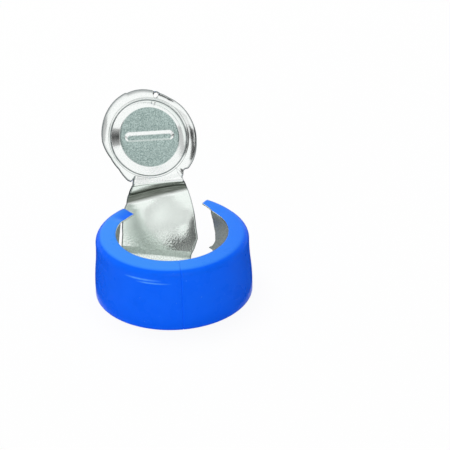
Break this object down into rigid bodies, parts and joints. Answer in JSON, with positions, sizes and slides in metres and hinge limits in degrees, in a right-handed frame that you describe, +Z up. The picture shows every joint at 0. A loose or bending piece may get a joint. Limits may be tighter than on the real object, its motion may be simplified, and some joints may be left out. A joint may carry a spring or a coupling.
{
  "type": "crimp seal",
  "caption": "Pressed aluminium crimp seal for an injection vial, torn open, with its tear strip and lift-off disc bent up behind the ring.",
  "frame": {"origin": "centre of the mouth, in the plane that the mouth rim stands on", "axes": "+Z up along the cup's axis, +Y to the back, where the strip is torn out"},
  "size_m": [0.021, 0.0269, 0.0219],
  "materials": {
    "lacquered_aluminium": "blue lacquer on the outside, bare bright metal on the inside"
  },
  "bodies": {
    "root": {"crimp_seal": "lacquered_aluminium"}
  },
  "joints": []
}
